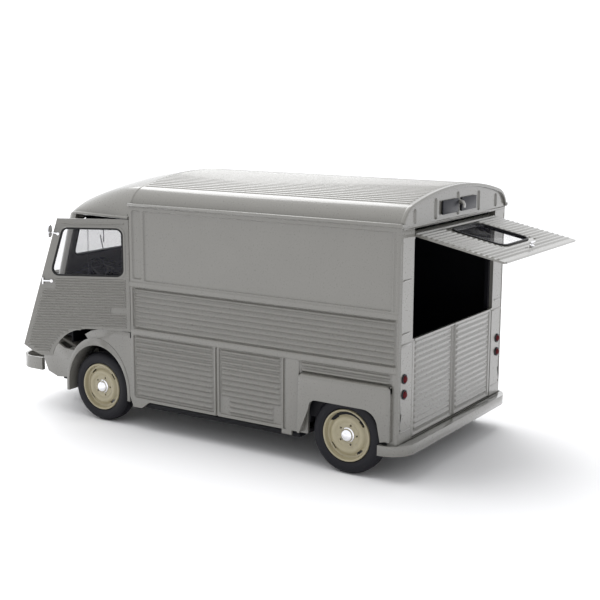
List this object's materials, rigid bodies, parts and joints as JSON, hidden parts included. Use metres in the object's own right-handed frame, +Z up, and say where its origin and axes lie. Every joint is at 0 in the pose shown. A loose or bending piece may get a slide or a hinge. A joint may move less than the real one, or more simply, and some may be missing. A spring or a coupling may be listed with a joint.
{
  "type": "scale model delivery van",
  "caption": "Scale model of a corrugated delivery van with opening cab doors, tailgate and rear doors, rolling wheels and working steering.",
  "frame": {"origin": "bottom centre of the box around the van at rest, with its left cab door and tailgate open, on the surface that it stands on", "axes": "+Z up, the van's front faces -Y and its left side is +X"},
  "size_m": [0.1313, 0.2641, 0.1207],
  "materials": {
    "body_paint": "satin gloss warm grey paint",
    "tyre": "matte black",
    "wheel_paint": "satin gloss cream paint",
    "black_rubber": "satin",
    "window_glass": "clear, polished",
    "lamp_glass": "clear with a faint grey tint",
    "red_lens": "polished red",
    "black_plastic": "fine matte",
    "seat_plastic": "fine grained",
    "gloss_black": "gloss",
    "steel": "plain turned",
    "lamp_housing": "satin pale grey",
    "chrome": "bright"
  },
  "bodies": {
    "van_body": {"chassis_base": "black_plastic", "interior_tub": "black_plastic", "side_wall_left": "body_paint", "side_wall_right": "body_paint", "rear_fender_left": "body_paint", "rear_fender_right": "body_paint", "cargo_roof": "body_paint", "rear_header": "body_paint", "rear_posts": "body_paint", "rear_bumper": "body_paint", "cab_roof": "body_paint", "cab_front": "body_paint", "nose": "body_paint", "grille": "body_paint", "front_wing_left": "body_paint", "front_wing_right": "body_paint", "headlamps": "body_paint", "headlamp_lenses": "lamp_glass", "front_bumper": "body_paint", "windscreen_glass": "window_glass", "windscreen_seal": "black_rubber", "wipers": "chrome", "dashboard": "black_plastic", "seats": "seat_plastic", "tail_lamp_bezels": "gloss_black", "tail_lamp_lenses": "red_lens", "rear_plates": "gloss_black", "plate_lamp": "lamp_housing", "hinge_pins": "steel", "base_screws": "steel"},
    "steering_left": {"knuckle_left": "black_plastic"},
    "steering_right": {"knuckle_right": "black_plastic"},
    "tie_rod": {"tie_rod": "black_plastic"},
    "steering_wheel": {"steering_wheel": "black_plastic"},
    "front_wheel_left": {"front_tyre_left": "tyre", "front_rim_left": "wheel_paint", "front_cap_left": "chrome"},
    "front_wheel_right": {"front_tyre_right": "tyre", "front_rim_right": "wheel_paint", "front_cap_right": "chrome"},
    "rear_wheels": {"rear_axle": "steel", "rear_rims": "wheel_paint", "rear_tyres": "tyre", "rear_caps": "chrome"},
    "door_left": {"door_left_panel": "body_paint", "door_left_glass": "window_glass", "door_left_seal": "black_rubber", "door_left_handle": "chrome", "mirror_left": "chrome"},
    "door_right": {"door_right_panel": "body_paint", "door_right_glass": "window_glass", "door_right_seal": "black_rubber", "door_right_handle": "chrome", "mirror_right": "chrome"},
    "tailgate": {"tailgate_panel": "body_paint", "tailgate_glass": "window_glass", "tailgate_seal": "black_rubber", "tailgate_handle": "chrome"},
    "rear_door_left": {"rear_door_left": "body_paint"},
    "rear_door_right": {"rear_door_right": "body_paint"}
  },
  "joints": [
    {"name": "steer_left", "type": "hinge", "parent": "van_body", "child": "steering_left", "pos_m": [0.03224, -0.07236, 0.0169], "axis": [0, 0, 1], "range_deg": [-20, 20]},
    {"name": "steer_right", "type": "hinge", "parent": "van_body", "child": "steering_right", "pos_m": [-0.05176, -0.07236, 0.0169], "axis": [0, 0, 1], "range_deg": [-20, 20]},
    {"name": "tie_rod_slide", "type": "slide", "parent": "van_body", "child": "tie_rod", "axis": [1, 0, 0], "range_m": [-0.00193, 0.00193]},
    {"name": "steering_wheel_turn", "type": "hinge", "parent": "van_body", "child": "steering_wheel", "pos_m": [0.01224, -0.09056, 0.0695], "axis": [0, 0.4695, 0.8829], "range_deg": [-60, 60]},
    {"name": "front_wheel_left_spin", "type": "hinge", "parent": "steering_left", "child": "front_wheel_left", "pos_m": [0.03634, -0.07236, 0.0169], "axis": [1, 0, 0], "continuous": true},
    {"name": "front_wheel_right_spin", "type": "hinge", "parent": "steering_right", "child": "front_wheel_right", "pos_m": [-0.05586, -0.07236, 0.0169], "axis": [1, 0, 0], "continuous": true},
    {"name": "rear_wheels_spin", "type": "hinge", "parent": "van_body", "child": "rear_wheels", "pos_m": [-0.00976, 0.06824, 0.0169], "axis": [1, 0, 0], "continuous": true},
    {"name": "door_left_hinge", "type": "hinge", "parent": "van_body", "child": "door_left", "pos_m": [0.04214, -0.05096, 0.074], "axis": [0, 0, 1], "range_deg": [-30, 39]},
    {"name": "door_right_hinge", "type": "hinge", "parent": "van_body", "child": "door_right", "pos_m": [-0.06166, -0.05096, 0.074], "axis": [0, 0, -1], "range_deg": [0, 69]},
    {"name": "tailgate_hinge", "type": "hinge", "parent": "van_body", "child": "tailgate", "pos_m": [-0.00976, 0.09029, 0.1016], "axis": [1, 0, 0], "range_deg": [-78.5, 6.5]},
    {"name": "rear_door_left_hinge", "type": "hinge", "parent": "van_body", "child": "rear_door_left", "pos_m": [0.02974, 0.09174, 0.038], "axis": [0, 0, -1], "range_deg": [0, 100]},
    {"name": "rear_door_right_hinge", "type": "hinge", "parent": "van_body", "child": "rear_door_right", "pos_m": [-0.04926, 0.09174, 0.038], "axis": [0, 0, 1], "range_deg": [0, 100]}
  ],
  "couplings": [
    {"joint": "steer_right", "follows": "steer_left", "ratio": 1},
    {"joint": "tie_rod_slide", "follows": "steer_left", "m_per_rad": -0.0055},
    {"joint": "steering_wheel_turn", "follows": "steer_left", "ratio": 3}
  ]
}
